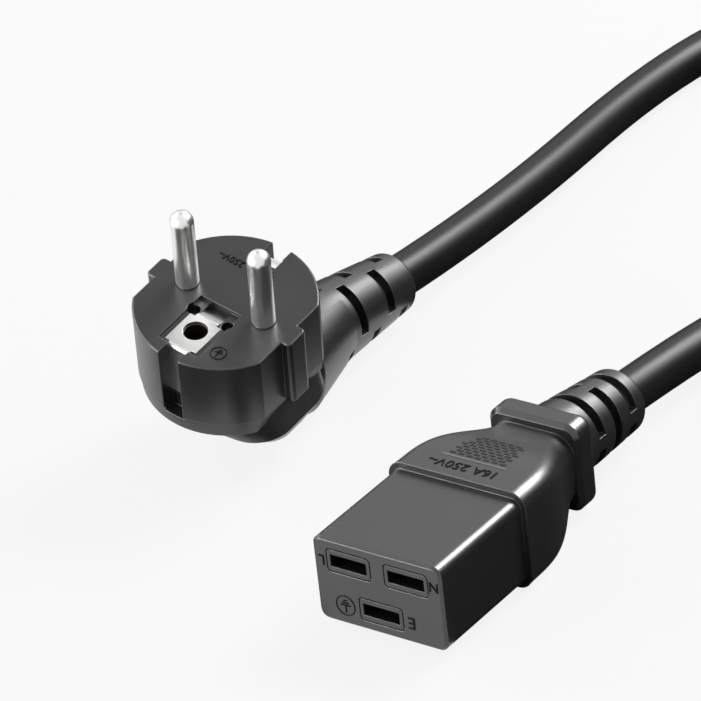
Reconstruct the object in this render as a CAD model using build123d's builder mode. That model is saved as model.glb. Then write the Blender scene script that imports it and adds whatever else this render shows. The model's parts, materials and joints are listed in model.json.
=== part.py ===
from build123d import *
import os
from math import atan, cos, degrees, pi, radians, sin, tan

# A mains cord set: a C19 cable connector, one free cord and an angled earthed plug.
# X runs from the line slot to the neutral slot, -Y is the way the connector mates,
# +Z is up, and the origin is under the middle of the connector, on the surface it lies on.
os.makedirs("parts", exist_ok=True)

# Shared running values
overrun = 1.0
fit = 0.1
skin_gap = 0.25

# Mating section of the connector
face_width = 29.0
face_height = 18.2
face_corner = 2.0
face_edge = 0.5
front_length = 27.0
slot_spacing = 13.0
slot_rise = 4.5
slot_width = 8.2
slot_height = 2.6
snout_width = 9.6
snout_height = 4.6
snout_corner = 0.7
snout_length = 3.0
line_groove_depth = 0.8

# Grip, thumb flange and bend relief of the connector
grip_width = 31.2
grip_height = 21.2
grip_corner = 3.4
grip_length = 26.0
waist_width = 18.8
waist_height = 14.8
waist_corner = 4.5
grip_station_shares = (0.0, 0.16, 0.46, 0.74, 1.0)
grip_taper_shares = (0.0, 0.02, 0.16, 0.64, 1.0)
flange_width = 20.6
flange_height = 19.4
flange_thickness = 6.0
flange_corner = 3.0
flange_edge = 1.8
relief_root_diameter = 17.2
relief_end_diameter = 14.2
relief_length = 23.4
relief_droop = 4.7
relief_edge = 0.9
relief_slot_width = 2.6
relief_slot_pitch = 6.2
relief_slot_last = 4.9
relief_core_diameter = 10.8
relief_half_web = 1.4
relief_slot_count = 3

# Insert, contacts and wires of the connector
carrier_width = 25.2
carrier_height = 14.8
carrier_corner = 1.2
carrier_length = 26.0
cap_thickness = 2.0
chamber_width = 9.4
chamber_height = 4.4
contact_sheet = 0.5
contact_width = 9.2
contact_height = 4.2
contact_box_length = 9.0
leaf_width = 7.6
leaf_length = 11.0
leaf_throat = 1.8
leaf_throat_share = 0.3
leaf_mouth = 2.8
crimp_diameter = 3.6
crimp_length = 6.0
strand_diameter = 1.6
core_diameter = 3.1
core_spread = 1.9
core_gather_share = 0.1

# Cord
cord_diameter = 9.2
tie_thickness = 0.8
tie_width = 11.0
tie_corner = 3.0
lead_straight = 38.0
arc_share = 0.45
coil_turn_radius = 52.0
coil_place_x = 14.0
coil_place_y = 193.0
coil_layer_rise = 9.6
turns_across = 3

# Face and body of the plug
plug_diameter = 37.0
plug_side_depth = 16.0
plug_front_depth = 19.5
plug_depth = 27.0
plug_edge = 0.5
side_flat_distance = 15.9
rib_width = 5.4
rib_reach = 17.9
rib_corner = 0.9
finger_waist = 14.6
finger_waist_length = 2.6
finger_waist_span = 34.0
finger_waist_corner = 13.0
wing_reach = 17.6
wing_span = 25.0
wing_corner = 8.5
wing_flare = 4.2
belly_width = 31.0
belly_span = 15.0
belly_corner = 5.5
channel_width = 4.8
channel_depth = 3.2
channel_length = 17.0
recess_depth = 0.8
recess_width = 10.0
recess_back = 1.4
end_recess_front = 12.6
pit_diameter = 2.6
pit_depth = 2.2
pit_spacing = 8.4
pit_place = 4.8

# Bend relief of the plug
boot_slant = 16.0
boot_end_place = 52.0
boot_end_depth = 38.4
boot_end_diameter = 13.3
boot_neck_length = 24.0
boot_neck_diameter = 17.8
boot_hip_length = 42.0
boot_hip_width = 28.0
boot_hip_height = 20.6
boot_hip_corner = 9.4
boot_root_length = 58.0
boot_root_width = 24.0
boot_root_height = 9.0
boot_root_corner = 4.0
boot_slot_width = 2.8
boot_slot_pitch = 5.4
boot_slot_last = 4.7
boot_slot_count = 5
boot_core_diameter = 10.6
boot_half_web = 0.7

# Pins and earthing of the plug
pin_spacing = 19.0
pin_diameter = 4.8
pin_length = 19.0
pin_shank_diameter = 4.3
pin_shank_rise = 0.3
pin_collar_diameter = 6.6
pin_collar_length = 1.6
earth_hole_place = 9.6
earth_hole_diameter = 4.9
earth_sleeve_diameter = 6.0
earth_sleeve_length = 12.6
sleeve_slit = 1.2
strap_sheet = 0.6
strap_width = 5.2
strap_plate_width = 7.6
strap_plate_back = 5.8
strap_dive_depth = 2.9
strap_bend = 0.7
strap_leaf_length = 13.0
bridge_width = 26.0
bridge_breadth = 8.0
bridge_top = 4.8
bridge_thickness = 6.6
bridge_corner = 1.5
plug_crimp_length = 4.0
plug_core_drop = 3.4

# Place of the plug: its heading, how far its face leans and how far it is rolled
plug_place_x = -65.5
plug_place_y = 45.4
plug_heading = -4.5
plug_pitch = 11.5
plug_roll = 13.0

axis_height = grip_height / 2
flange_start = front_length + grip_length
relief_start = flange_start + flange_thickness
relief_reach = relief_length * cos(radians(relief_droop))
relief_reach += relief_end_diameter / 2 * sin(radians(relief_droop))
overall_length = relief_start + relief_reach
face_y = -overall_length / 2
cap_start = snout_length + carrier_length
crimp_start = cap_start - crimp_length / 2 - fit
crimp_end = crimp_start + crimp_length


def across(depth):
    """Plane square to the connector's axis, this far behind its mating face, facing forwards."""
    return Plane(origin=(0, face_y + depth, axis_height), x_dir=(1, 0, 0), z_dir=(0, -1, 0))


def tilted(origin, droop):
    """Plane that faces along a bend relief, with its own Y upwards."""
    lean = radians(droop)
    return Plane(origin=origin, x_dir=(-1, 0, 0), z_dir=(0, cos(lean), -sin(lean)))


def wire(points):
    """Insulated core along straight runs."""
    with BuildPart() as piece:
        with BuildLine() as route:
            Polyline(*points)
        with BuildSketch(Plane(origin=route.line @ 0, z_dir=route.line % 0)):
            Circle(core_diameter / 2)
        sweep(transition=Transition.RIGHT)
    return piece.part


def bared(plane, length):
    """Bared end of a core inside its crimp."""
    with BuildPart() as piece:
        with BuildSketch(plane):
            Circle(strand_diameter / 2)
        extrude(amount=length)
    return piece.part


def save(part, name):
    part.label = name
    export_step(part, f"parts/{name}.step")


slots = {
    "live": (-slot_spacing / 2, slot_rise),
    "neutral": (slot_spacing / 2, slot_rise),
    "earth": (0.0, -slot_rise),
}
relief_root = tilted((0, face_y + relief_start, axis_height), relief_droop)

# Places of the three cores in the round of the cord, seen from the connector and from the plug
connector_turns = {"live": 30, "neutral": 150, "earth": 270}
plug_turns = {"live": 330, "neutral": 210, "earth": 90}


def core_places(plane, turn, distances):
    """Points of one core along a bend relief, at these distances from its root."""
    turn = radians(turn)
    side, rise = core_spread * cos(turn), core_spread * sin(turn)
    return [plane.from_local_coords((side, rise, distance)) for distance in distances]


# Wires inside the connector
connector_routes = {}
for name, (side, rise) in slots.items():
    entry = [(side, face_y + crimp_end, axis_height + rise)]
    entry += [(side, face_y + crimp_end + core_diameter, axis_height + rise)]
    gathered = (relief_length * core_gather_share, relief_length)
    connector_routes[name] = entry + core_places(relief_root, connector_turns[name], gathered)
connector_cores = {name: wire(route) for name, route in connector_routes.items()}

# Folded receptacle: a box behind two bowed spring leaves, with a crimp barrel
with BuildPart() as receptacle:
    box_back = crimp_start
    box_front = box_back - contact_box_length
    with BuildSketch(across(box_front)):
        Rectangle(contact_width, contact_height)
        Rectangle(
            contact_width - 2 * contact_sheet,
            contact_height - 2 * contact_sheet,
            mode=Mode.SUBTRACT,
        )
    extrude(amount=-contact_box_length)
    with BuildSketch(across(box_back - contact_sheet)):
        Rectangle(contact_width, contact_height)
    extrude(amount=-contact_sheet)
    leaf_start = box_front - leaf_length
    leaf_seat = contact_height / 2 - contact_sheet / 2
    for way in (1, -1):
        with BuildSketch(Plane.YZ.offset(-leaf_width / 2)):
            with BuildLine():
                Polyline(
                    (face_y + box_front + overrun, axis_height + way * leaf_seat),
                    (face_y + box_front, axis_height + way * leaf_seat),
                    (
                        face_y + leaf_start + leaf_length * leaf_throat_share,
                        axis_height + way * (leaf_throat + contact_sheet) / 2,
                    ),
                    (
                        face_y + leaf_start,
                        axis_height + way * (leaf_mouth + contact_sheet) / 2,
                    ),
                )
            trace(line_width=contact_sheet)
        extrude(amount=leaf_width)
    with BuildSketch(across(box_back)):
        Circle(crimp_diameter / 2)
    extrude(amount=-crimp_length)
    strands = bared(across(crimp_end), crimp_length / 2)
    add(strands, mode=Mode.SUBTRACT)

contacts = {
    name: receptacle.part.moved(Location((side, 0, rise)))
    for name, (side, rise) in slots.items()
}
connector_strands = {
    name: strands.moved(Location((side, 0, rise))) for name, (side, rise) in slots.items()
}

# Rigid insert with a chamber for each contact and a snout round each slot
with BuildPart() as contact_carrier:
    with BuildSketch(across(snout_length)):
        RectangleRounded(carrier_width, carrier_height, carrier_corner)
    extrude(amount=-carrier_length)
    with BuildSketch(across(0)):
        with Locations(*slots.values()):
            RectangleRounded(snout_width, snout_height, snout_corner)
    extrude(amount=-snout_length - overrun)
    with BuildSketch(across(-overrun)):
        with Locations(*slots.values()):
            Rectangle(slot_width, slot_height)
    extrude(amount=-snout_length - 2 * overrun, mode=Mode.SUBTRACT)
    with BuildSketch(across(snout_length)):
        with Locations(*slots.values()):
            Rectangle(chamber_width, chamber_height)
    extrude(amount=-carrier_length - overrun, mode=Mode.SUBTRACT)

# Plate that closes the insert, with a hole for each crimp
with BuildPart() as carrier_rear_cap:
    with BuildSketch(across(cap_start)):
        RectangleRounded(carrier_width, carrier_height, carrier_corner)
        with Locations(*slots.values()):
            Circle(crimp_diameter / 2 + fit, mode=Mode.SUBTRACT)
    extrude(amount=-cap_thickness)

# Outer form of the insert with what sticks out behind it, which the moulding closes round
with BuildPart() as connector_inside:
    with BuildSketch(across(snout_length)):
        RectangleRounded(carrier_width, carrier_height, carrier_corner)
    extrude(amount=-carrier_length - cap_thickness)
    with BuildSketch(across(-overrun)):
        with Locations(*slots.values()):
            RectangleRounded(snout_width, snout_height, snout_corner)
    extrude(amount=-snout_length - 2 * overrun)
    with BuildSketch(across(-overrun)):
        with Locations(*slots.values()):
            RectangleRounded(
                snout_width + 2 * skin_gap, snout_height + 2 * skin_gap, snout_corner + skin_gap
            )
    extrude(amount=-line_groove_depth - overrun)
    with BuildSketch(across(cap_start)):
        with Locations(*slots.values()):
            Circle(crimp_diameter / 2)
    extrude(amount=cap_start - crimp_end)
    for core in connector_cores.values():
        add(core)

# Thumb flange with rounded edges
with BuildPart() as flange:
    with BuildSketch(across(flange_start)):
        RectangleRounded(flange_width, flange_height, flange_corner)
    extrude(amount=-flange_thickness)
    fillet(flange.faces().sort_by(Axis.Y)[-1].edges(), flange_edge)
    chamfer(flange.faces().sort_by(Axis.Y)[0].edges(), flange_edge / 2)


def ring_slots(root, upright, distance, width, outer, core, half_web):
    """Half ring cuts on opposite sides of a bend relief, at one distance from its root."""
    with BuildPart() as cuts:
        with BuildSketch(root.offset(distance - width / 2)):
            Circle(outer)
            Circle(core / 2, mode=Mode.SUBTRACT)
            if upright:
                Rectangle(2 * outer, 2 * half_web, mode=Mode.SUBTRACT)
            else:
                Rectangle(2 * half_web, 2 * outer, mode=Mode.SUBTRACT)
        extrude(amount=width)
    return cuts.part


def quarter_slots(root, ways, distance, width, outer, core, half_web):
    """Quarter ring cuts in two opposite quarters of a bend relief, at one distance from its root."""
    with BuildPart() as cuts:
        with BuildSketch(root.offset(distance - width / 2)):
            Circle(outer)
            Circle(core / 2, mode=Mode.SUBTRACT)
            with Locations(*[(way[0] * outer, way[1] * outer) for way in ways]):
                Rectangle(2 * (outer - half_web), 2 * (outer - half_web), mode=Mode.INTERSECT)
        extrude(amount=width)
    return cuts.part


# Bend relief of the connector: a drooping cone with alternating partial rings cut out
with BuildPart() as relief:
    with BuildSketch(relief_root.offset(-flange_thickness / 2)):
        Circle(relief_root_diameter / 2)
    relief_taper = degrees(
        atan((relief_root_diameter - relief_end_diameter) / 2 / relief_length)
    )
    extrude(amount=relief_length + flange_thickness / 2, taper=relief_taper)
    fillet(relief.edges().sort_by(Axis.Y)[-1], relief_edge)
    for place in range(relief_slot_count):
        add(
            ring_slots(
                relief_root,
                place % 2 == 0,
                relief_length - relief_slot_last - place * relief_slot_pitch,
                relief_slot_width,
                relief_root_diameter,
                relief_core_diameter,
                relief_half_web,
            ),
            mode=Mode.SUBTRACT,
        )

# Overmoulded body of the connector
with BuildPart() as connector_housing:
    with BuildSketch(across(0)):
        RectangleRounded(face_width, face_height, face_corner)
    extrude(amount=-front_length - overrun)
    chamfer(connector_housing.faces().sort_by(Axis.Y)[0].edges(), face_edge)
    for station_share, taper_share in zip(grip_station_shares, grip_taper_shares):
        with BuildSketch(across(front_length + grip_length * station_share)):
            RectangleRounded(
                grip_width + (waist_width - grip_width) * taper_share,
                grip_height + (waist_height - grip_height) * taper_share,
                grip_corner + (waist_corner - grip_corner) * taper_share,
            )
    loft()
    add(flange.part)
    add(relief.part)
    add(connector_inside.part, mode=Mode.SUBTRACT)

save(connector_housing.part, "connector_housing")
save(contact_carrier.part, "contact_carrier")
save(carrier_rear_cap.part, "carrier_rear_cap")
for name in slots:
    save(contacts[name], f"{name}_contact")
    save(connector_cores[name], f"{name}_core")
    save(connector_strands[name], f"{name}_strands")

# The plug is modelled with its face on the XY plane, its pins upwards and its cord towards +Y
boot_end_plane = tilted((0, boot_end_place, -boot_end_depth), boot_slant)
boot_root = boot_end_plane.offset(-boot_root_length)
boot_neck = boot_root_length - boot_neck_length
crimp_top = bridge_top + bridge_thickness
plug_wires = {
    "live": (-pin_spacing / 2, 0.0, crimp_top),
    "neutral": (pin_spacing / 2, 0.0, crimp_top),
    "earth": (0.0, -earth_hole_place, earth_sleeve_length + recess_depth),
}

plug_routes = {}
for name, (side, place, depth) in plug_wires.items():
    turn_depth = depth + plug_crimp_length + plug_core_drop
    entry = [(side, place, -depth - plug_crimp_length), (side, place, -turn_depth)]
    gathered = (boot_neck, boot_root_length)
    plug_routes[name] = entry + core_places(boot_root, plug_turns[name], gathered)
plug_cores = {name: wire(route) for name, route in plug_routes.items()}
plug_strands = {
    name: bared(Plane(origin=route[0]), plug_crimp_length / 2)
    for name, route in plug_routes.items()
}

# Turned pin: round tip, shank, collar held by the bridge and a crimp barrel
with BuildPart() as pin:
    with BuildSketch(Plane.XZ):
        with BuildLine():
            Polyline(
                (0, pin_length),
                (0, -crimp_top - plug_crimp_length),
                (crimp_diameter / 2, -crimp_top - plug_crimp_length),
                (crimp_diameter / 2, -crimp_top),
                (pin_shank_diameter / 2, -crimp_top),
                (pin_shank_diameter / 2, -bridge_top),
                (pin_collar_diameter / 2, -bridge_top),
                (pin_collar_diameter / 2, -bridge_top + pin_collar_length),
                (pin_shank_diameter / 2, -bridge_top + pin_collar_length),
                (pin_shank_diameter / 2, pin_shank_rise),
                (pin_diameter / 2, pin_shank_rise),
                (pin_diameter / 2, pin_length - pin_diameter / 2),
            )
            RadiusArc(
                (pin_diameter / 2, pin_length - pin_diameter / 2),
                (0, pin_length),
                -pin_diameter / 2,
            )
        make_face()
    revolve(axis=Axis.Z)
    crimp_end_plane = Plane.XY.offset(-crimp_top - plug_crimp_length)
    add(bared(crimp_end_plane, plug_crimp_length / 2), mode=Mode.SUBTRACT)

pins = {
    "live": pin.part.moved(Location((-pin_spacing / 2, 0, 0))),
    "neutral": pin.part.moved(Location((pin_spacing / 2, 0, 0))),
}

# Rigid bridge that carries both pins
with BuildPart() as pin_bridge:
    with BuildSketch(Plane.XY.offset(-bridge_top)):
        RectangleRounded(bridge_width, bridge_breadth, bridge_corner)
    extrude(amount=-bridge_thickness)
    with Locations(Plane.XY.offset(-bridge_top)):
        with GridLocations(pin_spacing, 0, 2, 1):
            Hole(pin_shank_diameter / 2, bridge_thickness)

# Earth strap: two side leaves, the plate round the earth hole and the buried run between them
strap_level = -recess_depth + strap_sheet / 2
leaf_y = plug_diameter / 2 - channel_depth - strap_sheet / 2
with BuildPart() as earth_strap:
    with BuildSketch(Plane.YZ.offset(-strap_width / 2)):
        with BuildLine():
            FilletPolyline(
                (-leaf_y, -strap_leaf_length),
                (-leaf_y, strap_level),
                (-strap_plate_back, strap_level),
                (-recess_back, -strap_dive_depth),
                (end_recess_front - recess_back, -strap_dive_depth),
                (end_recess_front + recess_back, strap_level),
                (leaf_y, strap_level),
                (leaf_y, -strap_leaf_length),
                radius=strap_bend,
            )
        trace(line_width=strap_sheet)
    extrude(amount=strap_width)
    with BuildSketch(Plane.XY.offset(-recess_depth)):
        with Locations((0, -(leaf_y + strap_plate_back) / 2)):
            Rectangle(strap_plate_width, leaf_y - strap_plate_back - 2 * strap_sheet)
    extrude(amount=strap_sheet)
    with Locations((0, -earth_hole_place, 0)):
        Hole(earth_hole_diameter / 2 + fit, 2 * recess_depth)

# Spring sleeve behind the earth hole, slit along one side and closed by its crimp
with BuildPart() as earth_socket:
    sleeve_top = -recess_depth - fit
    with BuildSketch(Plane.XY.offset(sleeve_top)):
        with Locations((0, -earth_hole_place)):
            Circle(earth_sleeve_diameter / 2)
            Circle(earth_hole_diameter / 2, mode=Mode.SUBTRACT)
        with Locations((earth_sleeve_diameter / 2, -earth_hole_place)):
            Rectangle(earth_sleeve_diameter / 2, sleeve_slit, mode=Mode.SUBTRACT)
    extrude(amount=-earth_sleeve_length + contact_sheet + fit)
    with BuildSketch(Plane.XY.offset(-recess_depth - earth_sleeve_length)):
        with Locations((0, -earth_hole_place)):
            Circle(earth_sleeve_diameter / 2)
    extrude(amount=contact_sheet)
    with BuildSketch(Plane.XY.offset(-recess_depth - earth_sleeve_length)):
        with Locations((0, -earth_hole_place)):
            Circle(crimp_diameter / 2)
    extrude(amount=-plug_crimp_length)
    add(plug_strands["earth"], mode=Mode.SUBTRACT)

# What the moulding of the plug closes round
with BuildPart() as plug_inside:
    with BuildSketch(Plane.XY.offset(-bridge_top)):
        RectangleRounded(bridge_width, bridge_breadth, bridge_corner)
    extrude(amount=-bridge_thickness)
    with BuildSketch(Plane.XY.offset(overrun)):
        with GridLocations(pin_spacing, 0, 2, 1):
            Circle(pin_shank_diameter / 2)
    extrude(amount=-overrun - bridge_top)
    with BuildSketch(Plane.XY.offset(-bridge_top)):
        with GridLocations(pin_spacing, 0, 2, 1):
            Circle(pin_collar_diameter / 2)
    extrude(amount=pin_collar_length)
    with BuildSketch(Plane.XY.offset(-crimp_top)):
        with GridLocations(pin_spacing, 0, 2, 1):
            Circle(crimp_diameter / 2)
    extrude(amount=-plug_crimp_length)
    with BuildSketch(Plane.XY.offset(overrun)):
        with Locations((0, -earth_hole_place)):
            Circle(earth_sleeve_diameter / 2)
    extrude(amount=-overrun - recess_depth - earth_sleeve_length)
    with BuildSketch(Plane.XY.offset(-recess_depth - earth_sleeve_length)):
        with Locations((0, -earth_hole_place)):
            Circle(crimp_diameter / 2)
    extrude(amount=-plug_crimp_length)
    for core in plug_cores.values():
        add(core)

# Bend relief of the plug: wide hips that grow out of the body, then a slotted cone
with BuildPart() as boot:
    with BuildSketch(boot_root):
        RectangleRounded(boot_root_width, boot_root_height, boot_root_corner)
    with BuildSketch(boot_end_plane.offset(-boot_hip_length)):
        RectangleRounded(boot_hip_width, boot_hip_height, boot_hip_corner)
    loft(ruled=True)
    with BuildSketch(boot_end_plane.offset(-boot_hip_length)):
        RectangleRounded(boot_hip_width, boot_hip_height, boot_hip_corner)
    with BuildSketch(boot_end_plane.offset(-boot_neck_length)):
        Circle(boot_neck_diameter / 2)
    loft()
    with BuildSketch(boot_end_plane.offset(-boot_neck_length)):
        Circle(boot_neck_diameter / 2)
    boot_taper = degrees(atan((boot_neck_diameter - boot_end_diameter) / 2 / boot_neck_length))
    extrude(amount=boot_neck_length, taper=boot_taper)
    fillet(boot.edges().sort_by(Axis.Y)[-1], relief_edge)
    for place in range(boot_slot_count):
        add(
            quarter_slots(
                boot_root,
                ((1, 1), (-1, -1)) if place % 2 == 0 else ((1, -1), (-1, 1)),
                boot_root_length - boot_slot_last - place * boot_slot_pitch,
                boot_slot_width,
                boot_hip_height,
                boot_core_diameter,
                boot_half_web,
            ),
            mode=Mode.SUBTRACT,
        )

# Body of the plug: round face with ribbed side flats, finger waist and flared back
with BuildPart() as plug_housing:
    with BuildSketch(Plane.XY):
        Circle(plug_diameter / 2)
        Rectangle(2 * side_flat_distance, plug_diameter, mode=Mode.INTERSECT)
        RectangleRounded(2 * rib_reach, rib_width, rib_corner)
    extrude(amount=-plug_side_depth)
    chamfer(plug_housing.faces().sort_by(Axis.Z)[-1].edges(), plug_edge / 2)
    with BuildSketch(Plane.XY):
        Circle(plug_diameter / 2 - plug_edge)
        Rectangle(2 * finger_waist, plug_diameter, mode=Mode.INTERSECT)
    extrude(amount=-plug_front_depth)
    waist_level = -plug_side_depth - finger_waist_length
    with BuildSketch(Plane.XY.offset(waist_level)):
        RectangleRounded(2 * finger_waist, finger_waist_span, finger_waist_corner)
    with BuildSketch(Plane.XY.offset(waist_level - wing_flare)):
        RectangleRounded(2 * wing_reach, wing_span, wing_corner)
    with BuildSketch(Plane.XY.offset(-plug_depth)):
        RectangleRounded(belly_width, belly_span, belly_corner)
    loft(ruled=True)
    add(boot.part)
    for way in (1, -1):
        with BuildSketch(Plane.XY.offset(overrun)):
            with Locations((0, way * (plug_diameter - channel_depth) / 2)):
                Rectangle(channel_width, channel_depth)
        extrude(amount=-channel_length - overrun, mode=Mode.SUBTRACT)
        with BuildSketch(Plane.XY.offset(-strap_leaf_length)):
            with Locations((0, way * leaf_y)):
                Rectangle(strap_width, strap_sheet)
        extrude(amount=strap_leaf_length + overrun, mode=Mode.SUBTRACT)
    with BuildSketch(Plane.XY.offset(-recess_depth)):
        with Locations((0, -(leaf_y + recess_back) / 2)):
            Rectangle(recess_width, leaf_y - recess_back)
        with Locations((0, (leaf_y + end_recess_front) / 2)):
            Rectangle(strap_width, leaf_y - end_recess_front + strap_sheet)
    extrude(amount=recess_depth + overrun, mode=Mode.SUBTRACT)
    with BuildSketch(Plane.YZ.offset(-strap_width / 2)):
        Polygon(
            (-strap_plate_back, overrun),
            (-recess_back, overrun),
            (-recess_back, -strap_dive_depth),
            (-strap_plate_back, -recess_depth),
            align=None,
        )
    extrude(amount=strap_width, mode=Mode.SUBTRACT)
    with Locations((0, -pit_place, -recess_depth)):
        with GridLocations(pit_spacing, 0, 2, 1):
            Hole(pit_diameter / 2, pit_depth)
    add(plug_inside.part, mode=Mode.SUBTRACT)
    add(earth_strap.part, mode=Mode.SUBTRACT)

# The plug lies on the edge of its back, held at this slant by its cord
plug_turn = Location((0, 0, 0), (0, 0, plug_heading)) * Location((0, 0, 0), (plug_pitch, 0, 0))
plug_turn = plug_turn * Location((0, 0, 0), (0, plug_roll, 0))
plug_lift = -plug_housing.part.moved(plug_turn).bounding_box().min.Z
plug_place = Location((plug_place_x, face_y + plug_place_y, plug_lift)) * plug_turn

save(plug_housing.part.moved(plug_place), "plug_housing")
save(pin_bridge.part.moved(plug_place), "pin_bridge")
save(pins["live"].moved(plug_place), "live_pin")
save(pins["neutral"].moved(plug_place), "neutral_pin")
save(earth_strap.part.moved(plug_place), "earth_strap")
save(earth_socket.part.moved(plug_place), "earth_socket")
for name in plug_wires:
    save(plug_cores[name].moved(plug_place), f"plug_{name}_core")
    save(plug_strands[name].moved(plug_place), f"plug_{name}_strands")

# Where the cord leaves each bend relief, and a first straight stretch along its axis
boot_end = (plug_place * Location(boot_end_plane)).position
boot_ahead = (plug_place * Location(boot_end_plane.offset(lead_straight))).position
relief_end = relief_root.offset(relief_length).origin
relief_ahead = relief_root.offset(relief_length + lead_straight).origin
connector_lead_points = [relief_end, relief_ahead, (13.0, 122.0, 4.6), (42.0, 148.0, 4.8)]
plug_lead_points = [
    boot_end,
    boot_ahead,
    (-74.0, 176.0, 4.6),
    (-63.0, 218.0, 4.6),
    (-27.0, 247.0, 7.0),
    (9.0, 250.0, 13.6),
]


def corner_radii(points):
    """Radius of the arc at each corner: as large as its two runs leave room for."""
    radii = []
    for before, here, after in zip(points, points[1:], points[2:]):
        run_in, run_out = Vector(here) - Vector(before), Vector(after) - Vector(here)
        half_turn = radians(run_in.get_angle(run_out)) / 2
        radii.append(arc_share * min(run_in.length, run_out.length) / tan(half_turn))
    return radii


# Put-away length: three turns side by side with more on top, round the coil's own axis
coil_centre = (coil_place_x, coil_place_y, 0)
coil_half_bundle = turns_across / 2 * cord_diameter
top_half_bundle = coil_half_bundle - cord_diameter / 2
top_level = tie_thickness + coil_layer_rise + cord_diameter
with BuildPart() as cord_coil:
    with BuildSketch(Plane(origin=coil_centre, x_dir=(1, 0, 0), z_dir=(0, -1, 0))):
        with BuildLine():
            Polyline(
                (coil_turn_radius - coil_half_bundle, tie_thickness),
                (coil_turn_radius + coil_half_bundle, tie_thickness),
                (coil_turn_radius + coil_half_bundle, tie_thickness + cord_diameter),
                (coil_turn_radius + top_half_bundle, top_level),
                (coil_turn_radius - top_half_bundle, top_level),
                (coil_turn_radius - coil_half_bundle, tie_thickness + cord_diameter),
                close=True,
            )
        make_face()
    revolve(axis=Axis(coil_centre, (0, 0, 1)))


# Space between the coil and the floor, which no lead may reach into
with BuildPart() as under_coil:
    with BuildSketch(Plane(origin=coil_centre)):
        Circle(coil_turn_radius + coil_half_bundle)
    extrude(amount=tie_thickness, both=True)


def lead(name, points):
    """Stretch of the cord that isn't coiled, which ends against the coil."""
    radii = corner_radii(points)
    print(name, "arc radii", [round(radius, 1) for radius in radii])
    with BuildPart() as piece:
        with BuildLine() as route:
            FilletPolyline(*points, radius=radii)
        with BuildSketch(Plane(origin=route.line @ 0, z_dir=route.line % 0)):
            Circle(cord_diameter / 2)
        sweep()
        run_volume = pi * cord_diameter**2 / 4 * route.wire().length
        print(name, "length", round(route.wire().length, 1))
        print(name, "volume over section times length", round(piece.part.volume / run_volume, 4))
        add(cord_coil.part, mode=Mode.SUBTRACT)
        add(under_coil.part, mode=Mode.SUBTRACT)
    return piece.part


# Band round the coil, across its turns
with BuildPart() as coil_tie:
    tie_plane = Plane(origin=coil_centre, x_dir=(-1, 0, 0), z_dir=(0, 1, 0))
    with BuildSketch(tie_plane.offset(-tie_width / 2)):
        with Locations((coil_turn_radius, top_level / 2 + tie_thickness / 2)):
            RectangleRounded(
                2 * (coil_half_bundle + tie_thickness), top_level + tie_thickness, tie_corner
            )
    extrude(amount=tie_width)
    add(cord_coil.part, mode=Mode.SUBTRACT)

save(lead("cord_connector_lead", connector_lead_points), "cord_connector_lead")
save(lead("cord_plug_lead", plug_lead_points), "cord_plug_lead")
save(cord_coil.part, "cord_coil")
save(coil_tie.part, "coil_tie")
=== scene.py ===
import json
import math

import bpy
from mathutils import Matrix, Vector


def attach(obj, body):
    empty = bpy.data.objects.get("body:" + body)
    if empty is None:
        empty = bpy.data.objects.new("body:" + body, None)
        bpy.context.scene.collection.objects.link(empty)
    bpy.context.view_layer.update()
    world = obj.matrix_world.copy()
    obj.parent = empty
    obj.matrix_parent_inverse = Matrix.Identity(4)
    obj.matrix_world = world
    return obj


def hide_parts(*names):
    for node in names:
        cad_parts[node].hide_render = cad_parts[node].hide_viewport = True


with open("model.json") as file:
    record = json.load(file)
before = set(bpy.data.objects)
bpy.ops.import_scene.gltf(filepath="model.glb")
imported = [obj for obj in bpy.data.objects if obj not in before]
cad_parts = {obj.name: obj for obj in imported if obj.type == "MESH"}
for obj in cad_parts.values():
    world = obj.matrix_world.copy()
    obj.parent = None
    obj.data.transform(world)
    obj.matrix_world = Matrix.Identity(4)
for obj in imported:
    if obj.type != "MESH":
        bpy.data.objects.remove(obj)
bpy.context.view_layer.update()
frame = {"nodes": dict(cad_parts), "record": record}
nodes = frame["nodes"]
MM = 0.001

# The connector's mating face is this far forward of the origin, and its axis this high
FACE_Y = -41.4515
AXIS_Z = 10.6


def turn_rows(azimuth, elevation, roll):
    """Right, down and forward of a camera at these angles, in degrees."""
    a, e, r = (math.radians(value) for value in (azimuth, elevation, roll))
    forward = Vector((-math.sin(a) * math.cos(e), math.cos(a) * math.cos(e), -math.sin(e)))
    right = forward.cross(Vector((0, 0, 1))).normalized()
    down = forward.cross(right)
    return (
        math.cos(r) * right + math.sin(r) * down,
        -math.sin(r) * right + math.cos(r) * down,
        forward,
    )


# Camera at the photograph's angle: a long lens, far off
AZIMUTH, ELEVATION, ROLL = 38.209, 29.0, 6.591
CAMERA_PLACE = (487.9606, -620.0669 + FACE_Y, 489.315 + AXIS_Z)
right, down, forward = turn_rows(AZIMUTH, ELEVATION, ROLL)
camera = bpy.data.objects.new("camera", bpy.data.cameras.new("camera"))
bpy.context.scene.collection.objects.link(camera)
bpy.context.scene.camera = camera
camera.data.lens = 256.78
camera.data.sensor_width = 36.0
camera.data.clip_start = 0.05
camera.data.clip_end = 20.0
camera_turn = Matrix((right, -down, -forward)).transposed().to_4x4()
camera.matrix_world = Matrix.Translation(Vector(CAMERA_PLACE) * MM) @ camera_turn


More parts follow.
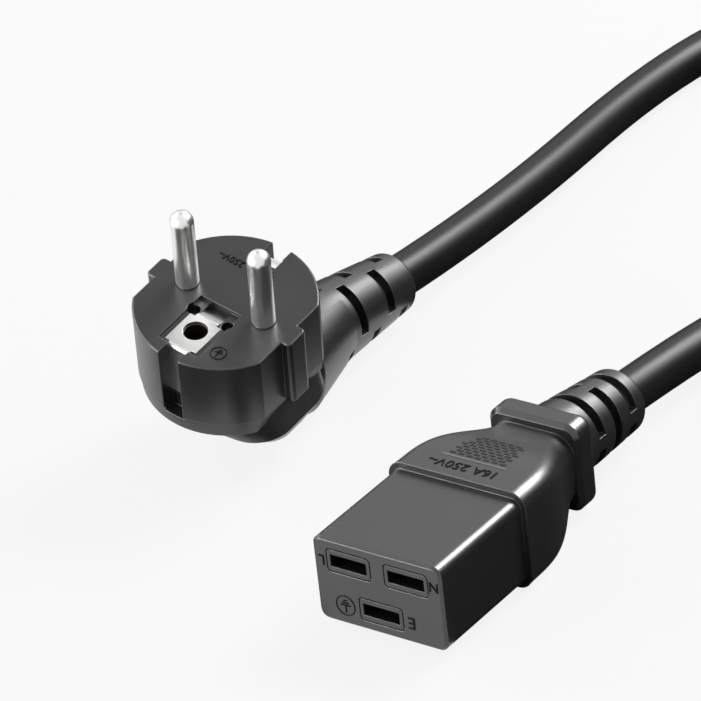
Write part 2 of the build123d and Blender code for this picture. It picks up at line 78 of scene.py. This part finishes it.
def spline_curve(name, points, radius):
    """Round cord along one smooth spline that these points pull, in millimetres.

    Each point carries the radius, so that the curve's own box is as large as the cord.
    """
    curve = bpy.data.curves.new(name, "CURVE")
    curve.dimensions = "3D"
    spline = curve.splines.new("NURBS")
    spline.points.add(len(points) - 1)
    for point, (x, y, z) in zip(spline.points, points):
        point.co = (x * MM, y * MM, z * MM, 1.0)
        point.radius = radius * MM
    spline.order_u = 3
    spline.use_endpoint_u = True
    spline.resolution_u = 10
    curve.bevel_depth = 1.0
    curve.bevel_resolution = 8
    cord = bpy.data.objects.new(name, curve)
    bpy.context.scene.collection.objects.link(cord)
    return cord


# Cord: out of the connector, along the floor, round the coil and back to the plug
CORD = 9.2
COIL_X, COIL_Y = 14.0, 193.0
LOW, HIGH = 5.4, 15.0
OUTER, MIDDLE, INNER = 61.2, 52.0, 42.8
FIRST_TOP, SECOND_TOP = 47.4, 56.6
STEP = 22.5
# Angle, radius and height of the turns: three below from the outside in, then two on top
TURNS = [
    (-60.0, OUTER, LOW),
    (240.0, OUTER, LOW),
    (300.0, MIDDLE, LOW),
    (600.0, MIDDLE, LOW),
    (660.0, INNER, LOW),
    (900.0, INNER, LOW),
    (930.0, INNER + 0.8, (LOW + HIGH) / 2 + 0.6),
    (960.0, FIRST_TOP, HIGH),
    (1260.0, FIRST_TOP, HIGH),
    (1320.0, SECOND_TOP, HIGH),
    (1530.0, SECOND_TOP, HIGH),
]


def on_turns(angle):
    """Radius and height of the coil's cord at an angle counted on from its first turn."""
    for (a0, r0, z0), (a1, r1, z1) in zip(TURNS, TURNS[1:]):
        if angle <= a1:
            share = (angle - a0) / (a1 - a0)
            share = share * share * (3 - 2 * share)
            return r0 + (r1 - r0) * share, z0 + (z1 - z0) * share
    return TURNS[-1][1:]


coil_points = []
steps = round((TURNS[-1][0] - TURNS[0][0]) / STEP)
for step in range(steps + 1):
    angle = TURNS[0][0] + step * (TURNS[-1][0] - TURNS[0][0]) / steps
    radius, height = on_turns(angle)
    radius /= (3 + math.cos(math.radians(STEP))) / 4
    turn = math.radians(angle)
    coil_points.append((COIL_X + radius * math.cos(turn), COIL_Y + radius * math.sin(turn), height))

cord_points = [
    (0.0, 40.87, 8.683),
    (0.0, 78.742, 5.569),
    (13.0, 122.0, 4.6),
    *coil_points,
    (-11.0, 250.2, 15.6),
    (-33.0, 244.0, 7.5),
    (-63.0, 218.0, 4.6),
    (-74.0, 176.0, 4.6),
    (-68.909, 100.759, 5.543),
    (-69.528, 62.862, 8.261),
]
cord = spline_curve("mains_cord", cord_points, CORD / 2)
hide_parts("cord_connector_lead", "cord_coil", "cord_plug_lead")
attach(cord, "root")


def placed(origin, across, up):
    """Place of a flat mark: its middle in millimetres, and where it reads to and has its top."""
    across, up = Vector(across).normalized(), Vector(up).normalized()
    turn = Matrix((across, up, across.cross(up))).transposed().to_4x4()
    return Matrix.Translation(Vector(origin) * MM) @ turn


def settle(piece, place):
    """Moves a finished flat piece to its place, with the place in its mesh."""
    bpy.ops.object.select_all(action="DESELECT")
    piece.select_set(True)
    bpy.context.view_layer.objects.active = piece
    piece.matrix_world = place
    bpy.ops.object.transform_apply(location=True, rotation=True, scale=True)
    return piece


def letters(words, size, place, thick=True):
    """Plain letters, raised, or flat for a curved place."""
    bpy.ops.object.select_all(action="DESELECT")
    bpy.ops.object.text_add()
    text = bpy.context.object
    text.data.body = words
    text.data.align_x, text.data.align_y = "CENTER", "CENTER"
    text.data.size = size * MM
    text.data.extrude = RAISED * MM if thick else 0.0
    text.data.resolution_u = 4
    bpy.ops.object.convert(target="MESH")
    return settle(bpy.context.object, place)


def bar(width, height, x, y):
    """Raised bar of the earth mark, bevelled all round."""
    bpy.ops.object.select_all(action="DESELECT")
    bpy.ops.mesh.primitive_cube_add(size=1.0, location=(x * MM, y * MM, 0))
    piece = bpy.context.object
    piece.scale = (width * MM, height * MM, 2 * RAISED * MM)
    bpy.ops.object.transform_apply(location=True, rotation=True, scale=True)
    bpy.ops.object.mode_set(mode="EDIT")
    bpy.ops.mesh.select_all(action="SELECT")
    bpy.ops.mesh.bevel(offset=0.25 * RAISED * MM)
    bpy.ops.object.mode_set(mode="OBJECT")
    return piece


def earth_mark(radius, place):
    """Earth symbol in a ring, raised."""
    bpy.ops.object.select_all(action="DESELECT")
    line = 0.12 * radius
    bpy.ops.mesh.primitive_torus_add(
        major_radius=radius * MM, minor_radius=RAISED * MM, major_segments=40, minor_segments=8
    )
    strokes = [
        bpy.context.object,
        bar(line, 0.75 * radius, 0, 0.35 * radius),
        bar(1.1 * radius, line, 0, -0.05 * radius),
        bar(0.72 * radius, line, 0, -0.3 * radius),
        bar(0.34 * radius, line, 0, -0.55 * radius),
    ]
    for stroke in strokes:
        stroke.select_set(True)
    bpy.context.view_layer.objects.active = strokes[0]
    bpy.ops.object.join()
    return settle(bpy.context.object, place)


# Marks: the contacts' letters on the mating face, the earth symbols, the plain ratings and the
# hatch panel. GRIP_TOP is above the grip, and marks there are laid down onto it.
RAISED = 0.14
GRIP_TOP = 23.0
RATING_LIFT, HATCH_LIFT = 0.12, 0.1
# Hatch panel: its front row behind the mating face, half its width there, and how it narrows
HATCH_FRONT, HATCH_HALF, HATCH_TAPER = 34.8, 7.4, 0.2
HATCH_ROWS, ROW_PITCH = 9, 1.04
DASH_LENGTH, DASH_WIDTH, DASH_PITCH = 1.3, 0.5, 1.9
DASH_REACH = 4
# Line below the hatch: a thin bar, pale with a painted highlight
LINE_PLACE, LINE_LENGTH, LINE_WIDTH = 33.5, 14.6, 0.34
# The plug's face: its own X and Y, and its middle
PLUG_ACROSS = Vector((0.974885, -0.031738, -0.220435))
PLUG_BACK = Vector((0.076884, 0.976904, 0.199368))
PLUG_FACE = Vector((-65.5, FACE_Y + 45.4, 34.5584))


def on_plug(x, y):
    """Place on the plug's face, for a mark that reads from its cord."""
    return placed(PLUG_FACE + PLUG_ACROSS * x + PLUG_BACK * y, -PLUG_ACROSS, -PLUG_BACK)


def on_face(x, z):
    """Place on the connector's face, for a mark that reads upside down."""
    return placed((x, FACE_Y, AXIS_Z + z), (-1, 0, 0), (0, 0, -1))


def on_grip(x, behind):
    """Place above the grip, for a mark that reads upside down, this far behind the mating face."""
    return placed((x, FACE_Y + behind, GRIP_TOP), (-1, 0, 0), (0, -1, 0))


def flat_bar(width, height, x, y):
    """Flat bar, in steps along its length that can follow a curved place."""
    bpy.ops.object.select_all(action="DESELECT")
    bpy.ops.mesh.primitive_grid_add(
        x_subdivisions=max(2, round(width)), y_subdivisions=1, size=1.0,
        location=(x * MM, y * MM, 0),
    )
    piece = bpy.context.object
    piece.scale = (width * MM, height * MM, 1.0)
    bpy.ops.object.transform_apply(location=True, rotation=True, scale=True)
    return piece


def hatch(place):
    """Flat staggered dashes in rows, in a panel that narrows towards the flange."""
    bpy.ops.object.select_all(action="DESELECT")
    dashes = []
    for row in range(HATCH_ROWS):
        behind = HATCH_FRONT + row * ROW_PITCH
        half = HATCH_HALF - HATCH_TAPER * row * ROW_PITCH
        for step in range(-DASH_REACH, DASH_REACH + 1):
            x = (step + row % 2 / 2) * DASH_PITCH
            if abs(x) + DASH_LENGTH / 2 <= half:
                dashes.append(flat_bar(DASH_LENGTH, DASH_WIDTH, x, HATCH_FRONT - behind))
    for dash in dashes:
        dash.select_set(True)
    bpy.context.view_layer.objects.active = dashes[0]
    bpy.ops.object.join()
    return settle(bpy.context.object, place)


def hugging(mark, lift):
    """Lays a flat mark on the curved top of the grip, this far proud, and thickens it inwards."""
    hug = mark.modifiers.new("hug", "SHRINKWRAP")
    hug.target = nodes["connector_housing"]
    hug.wrap_method = "PROJECT"
    hug.use_project_z = True
    hug.use_negative_direction = True
    hug.use_positive_direction = False
    hug.offset = lift * MM
    bpy.context.view_layer.objects.active = mark
    bpy.ops.object.modifier_apply(modifier="hug")
    thicken = mark.modifiers.new("thicken", "SOLIDIFY")
    thicken.thickness = 2 * lift * MM
    thicken.offset = -1.0
    bpy.ops.object.modifier_apply(modifier="thicken")
    return mark


marks = {
    "live_letter": letters("L", 3.1, on_face(-12.6, 4.2)),
    "neutral_letter": letters("N", 3.0, on_face(12.75, 4.9)),
    "earth_letter": letters("E", 3.6, on_face(6.9, -4.5)),
    "connector_earth_mark": earth_mark(2.1, on_face(-8.2, -4.9)),
    "plug_earth_mark": earth_mark(1.6, on_plug(7.6, -12.0)),
    "plug_rating": letters("10/16A 250V~", 2.3, on_plug(-2.4, 9.9)),
    "grip_rating": hugging(letters("16A 250V~", 3.4, on_grip(-0.6, 30.7), False), RATING_LIFT),
    "grip_hatch": hugging(hatch(on_grip(0, HATCH_FRONT)), HATCH_LIFT),
    "grip_line": hugging(
        settle(flat_bar(LINE_LENGTH, LINE_WIDTH, 0, 0), on_grip(0, LINE_PLACE)), HATCH_LIFT
    ),
}
for name, mark in marks.items():
    mark.name = name
    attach(mark, "root")


class Net:
    """Node tree whose nodes all come from one method."""

    def __init__(self, tree):
        self.tree = tree

    def feed(self, socket, value):
        """Links a formula to a socket, or sets the socket to a plain value."""
        if isinstance(value, Sum):
            self.tree.links.new(value.socket, socket)
        else:
            socket.default_value = value

    def add(self, kind, settings, sockets, out=0):
        """Node of this type: its settings first, then the values or links of its sockets."""
        node = self.tree.nodes.new("ShaderNode" + kind)
        for key, value in settings.items():
            setattr(node, key, value)
        for key, value in sockets.items():
            self.feed(node.inputs[key], value)
        return Sum(self, node.outputs[out])

    def mix(self, share, under, over):
        """Colour between two colours."""
        sockets = {"Factor": share, "A": under, "B": over}
        return self.add("Mix", {"data_type": "RGBA"}, sockets, "Result")


class Sum:
    """A node socket that can stand in a formula."""

    def __init__(self, net, socket):
        self.net, self.socket = net, socket

    def math(self, operation, other=0.0, clamp=False):
        settings = {"operation": operation, "use_clamp": clamp}
        return self.net.add("Math", settings, {0: self, 1: other})

    def __add__(self, other):
        return self.math("ADD", other)

    def __sub__(self, other):
        return self.math("SUBTRACT", other)

    def __mul__(self, other):
        return self.math("MULTIPLY", other)

    def __neg__(self):
        return self * -1.0

    def __radd__(self, other):
        return self + other

    def __rsub__(self, other):
        return -self + other

    def __rmul__(self, other):
        return self * other


def solid(colour):
    """Colour with full cover."""
    return (*colour, 1.0)


class Finish(Net):
    """One procedural material on object coordinates, in millimetres."""

    def __init__(self, name):
        self.material = bpy.data.materials.new(name)
        self.material.use_nodes = True
        super().__init__(self.material.node_tree)
        self.shader = self.tree.nodes["Principled BSDF"]
        self.place = self.add("TexCoord", {}, {}, "Object")

    def set(self, **values):
        for key, value in values.items():
            self.feed(self.shader.inputs[key.replace("_", " ")], value)

    def noise(self, scale, detail=2.0, rough=0.5, stretch=(1, 1, 1)):
        """Even noise from 0 to 1, this many times per millimetre."""
        spread = [scale / MM * part for part in stretch]
        place = self.add("Mapping", {"vector_type": "POINT"}, {0: self.place, "Scale": spread})
        return self.add(
            "TexNoise", {}, {"Vector": place, "Scale": 1.0, "Detail": detail, "Roughness": rough}
        )

    def relief(self, height, depth, round_off=0.0):
        """Fine relief this deep, in millimetres, and edges that look rounded."""
        sockets = {"Strength": 1.0, "Distance": depth * MM, "Height": height}
        if round_off:
            sockets["Normal"] = self.add("Bevel", {"samples": 6}, {"Radius": round_off * MM})
        self.set(Normal=self.add("Bump", {}, sockets))


def moulded(name, colour, rough=0.42, edge=0.3, shine=0.5):
    """Soft moulded PVC: fine spark grain, slight clouds of tone and a dull sheen."""
    finish = Finish(name)
    cloud = finish.noise(0.12, 3.0)
    grain = finish.noise(4.0, 3.0, 0.6)
    dark, light = [solid([share * part for part in colour]) for share in (0.86, 1.14)]
    finish.set(
        Base_Color=finish.mix(cloud, dark, light),
        Roughness=cloud * 0.06 + grain * 0.05 + (rough - 0.05),
        Specular_IOR_Level=shine,
    )
    finish.relief(grain, 0.012, edge)
    return finish.material


pvc = moulded("moulded_pvc", (0.006, 0.006, 0.0062), 0.33, shine=1.0)
insert = moulded("insert_plastic", (0.005, 0.005, 0.0052), 0.33, 0.15, 1.0)
marking = moulded("raised_marks", (0.002, 0.002, 0.002), 0.5, 0.0, 0.1)
# Hatch dashes: real relief, darker and duller than the moulding as painted shade of engraved
# grooves
hatch_painted_shade = moulded("hatch_painted_shade", (0.004, 0.004, 0.004), 0.45, 0.0, 0.4)
# Pale colour of the line below the hatch: a painted highlight along it
line_painted_highlight = moulded("line_painted_highlight", (0.11, 0.11, 0.11), 0.4, 0.0, 0.9)

jacket = Finish("cord_jacket")
cloud = jacket.noise(0.1, 3.0)
grain = jacket.noise(2.5, 2.0)
jacket.set(
    Base_Color=jacket.mix(cloud, solid((0.004, 0.004, 0.0042)), solid((0.006, 0.006, 0.0062))),
    Roughness=cloud * 0.06 + grain * 0.04 + 0.34,
    Specular_IOR_Level=0.3,
)
jacket.relief(grain, 0.008)


def plated(name, dark, light, rough, scale, stretch=(1, 1, 1), depth=0.003):
    """Bare or plated metal with faint drawn lines."""
    finish = Finish(name)
    lines = finish.noise(scale, 3.0, 0.6, stretch)
    tone = finish.mix(lines, solid(dark), solid(light))
    finish.set(Base_Color=tone, Metallic=1.0, Roughness=lines * 0.08 + rough)
    finish.relief(lines, depth, 0.1)
    return finish.material


nickel = plated(
    "nickel_plate", (0.8, 0.79, 0.78), (0.88, 0.87, 0.86), 0.26, 1.2, (1, 1, 0.08), 0.0006
)
strip = plated("earth_strip", (0.62, 0.62, 0.61), (0.72, 0.72, 0.71), 0.3, 0.8, (0.15, 1, 1))
brass = plated("contact_brass", (0.6, 0.44, 0.2), (0.74, 0.56, 0.28), 0.26, 0.9)
# Brass darkened to near black for the earth socket: painted shade of its deep hole
shade_darkened_sleeve = plated("brass_sleeve_painted_shade", (0.16, 0.14, 0.11), (0.24, 0.21, 0.17), 0.3, 0.9)

FINISHES = {
    "moulding": pvc,
    "insert": insert,
    "cord_jacket": jacket.material,
    "tie_band": moulded("tie_band", (0.03, 0.03, 0.031), 0.5),
    "nickel": nickel,
    "earth_plate": strip,
    "contact_brass": brass,
    "copper": brass,  # the bared ends are sealed in the moulding
    "brown_core": moulded("brown_core", (0.22, 0.09, 0.04)),
    "blue_core": moulded("blue_core", (0.03, 0.14, 0.5)),
    "green_core": moulded("green_core", (0.2, 0.5, 0.08)),
}
slot_of = {entry["node"]: entry["material_slot"] for entry in frame["record"]["subparts"]}
for name, node in nodes.items():
    node.data.materials.clear()
    # The earth socket takes the brass darkened with painted shade
    finish = shade_darkened_sleeve if name == "earth_socket" else FINISHES[slot_of[name]]
    node.data.materials.append(finish)
cord.data.materials.append(jacket.material)
mark_finishes = {"grip_line": line_painted_highlight, "grip_hatch": hatch_painted_shade}
for name, mark in marks.items():
    mark.data.materials.clear()
    mark.data.materials.append(mark_finishes.get(name, marking))

# White floor and surround, which metal and gloss show too, and a plain grey one for soft light
WHITE = solid((0.925, 0.925, 0.925))
SOFT_GREY = solid((0.3, 0.3, 0.305))
FLOOR_GLOW = 0.94


def seen_share(net):
    """1 for what the camera sees, itself or in a reflection, and 0 for soft light."""
    camera_ray, glossy, through = [
        net.add("LightPath", {}, {}, "Is " + kind + " Ray")
        for kind in ("Camera", "Glossy", "Transmission")
    ]
    return (camera_ray + glossy).math("ADD", through, clamp=True)


bpy.ops.object.select_all(action="DESELECT")
bpy.ops.mesh.primitive_plane_add(size=4.0, location=(0, 0.1, 0))
floor = bpy.context.object
floor.name = "floor"
pale = Finish("pale_floor")
pale.set(Base_Color=solid((0.85, 0.85, 0.85)), Roughness=0.9)
glow = pale.add("Emission", {}, {"Color": WHITE})
lit = Sum(pale, pale.shader.outputs[0])
ground = pale.add("MixShader", {}, {0: seen_share(pale) * FLOOR_GLOW, 1: lit, 2: glow})
pale.feed(pale.tree.nodes["Material Output"].inputs["Surface"], ground)
floor.data.materials.append(pale.material)

world = bpy.data.worlds.new("surround")
bpy.context.scene.world = world
world.use_nodes = True
air = Net(world.node_tree)
sky = air.mix(seen_share(air), SOFT_GREY, WHITE)
air.feed(air.tree.nodes["Background"].inputs["Color"], sky)

# Black cards beside the object, which only its gloss sees
black = Finish("black_card")
black.set(Base_Color=solid((0.01, 0.01, 0.01)), Roughness=1.0)


def card(name, place, size, turn):
    """Black card: its middle and size in millimetres and its turns in degrees."""
    bpy.ops.object.select_all(action="DESELECT")
    bpy.ops.mesh.primitive_plane_add(size=1.0)
    sheet = bpy.context.object
    sheet.name = name
    sheet.location = Vector(place) * MM
    sheet.scale = (size[0] * MM, size[1] * MM, 1.0)
    sheet.rotation_euler = [math.radians(angle) for angle in turn]
    sheet.data.materials.append(black.material)
    sheet.visible_camera = sheet.visible_diffuse = sheet.visible_shadow = False
    sheet.visible_transmission = False
    return sheet


cards = [
    card("card_right", (356, 246.5, 0.1), (800, 567), (0, 0, 0)),
    card("card_under_cord", (-244, 298, 0.1), (400, 464), (0, 0, 0)),
    card("card_back", (-520, 660, 80), (1200, 160), (90, 0, 38)),
    card("card_front", (-81, -48, 0.1), (62, 56), (0, 0, 0)),
    card("card_between", (-35, -27, 0.12), (38, 36), (0, 0, 0)),
    card("card_above", (-233, 272, 680), (260, 260), (27, 0, -32)),
    card("card_far", (420, 400, 110), (1200, 220), (90, 0, -45)),
]


def lamp(name, place, aim, size, power):
    """Soft square light, with its place and aim in millimetres."""
    light = bpy.data.objects.new(name, bpy.data.lights.new(name, "AREA"))
    light.data.shape = "RECTANGLE"
    light.data.size, light.data.size_y = size[0] * MM, size[1] * MM
    light.data.energy = power
    light.location = Vector(place) * MM
    light.rotation_mode = "QUATERNION"
    light.rotation_quaternion = (Vector(aim) * MM - light.location).to_track_quat("-Z", "Y")
    bpy.context.scene.collection.objects.link(light)


lamp("left", (-620, -40, 420), (-30, 20, 0), (420, 420), 2.5)
lamp("rim", (150, 530, 535), (0, 20, 10), (430, 240), 8.0)
lamp("front_low", (-430, -560, 110), (0, -40, 10), (420, 220), 5.0)

bpy.context.scene.view_settings.view_transform = "Standard"
bpy.context.scene.view_settings.look = "None"
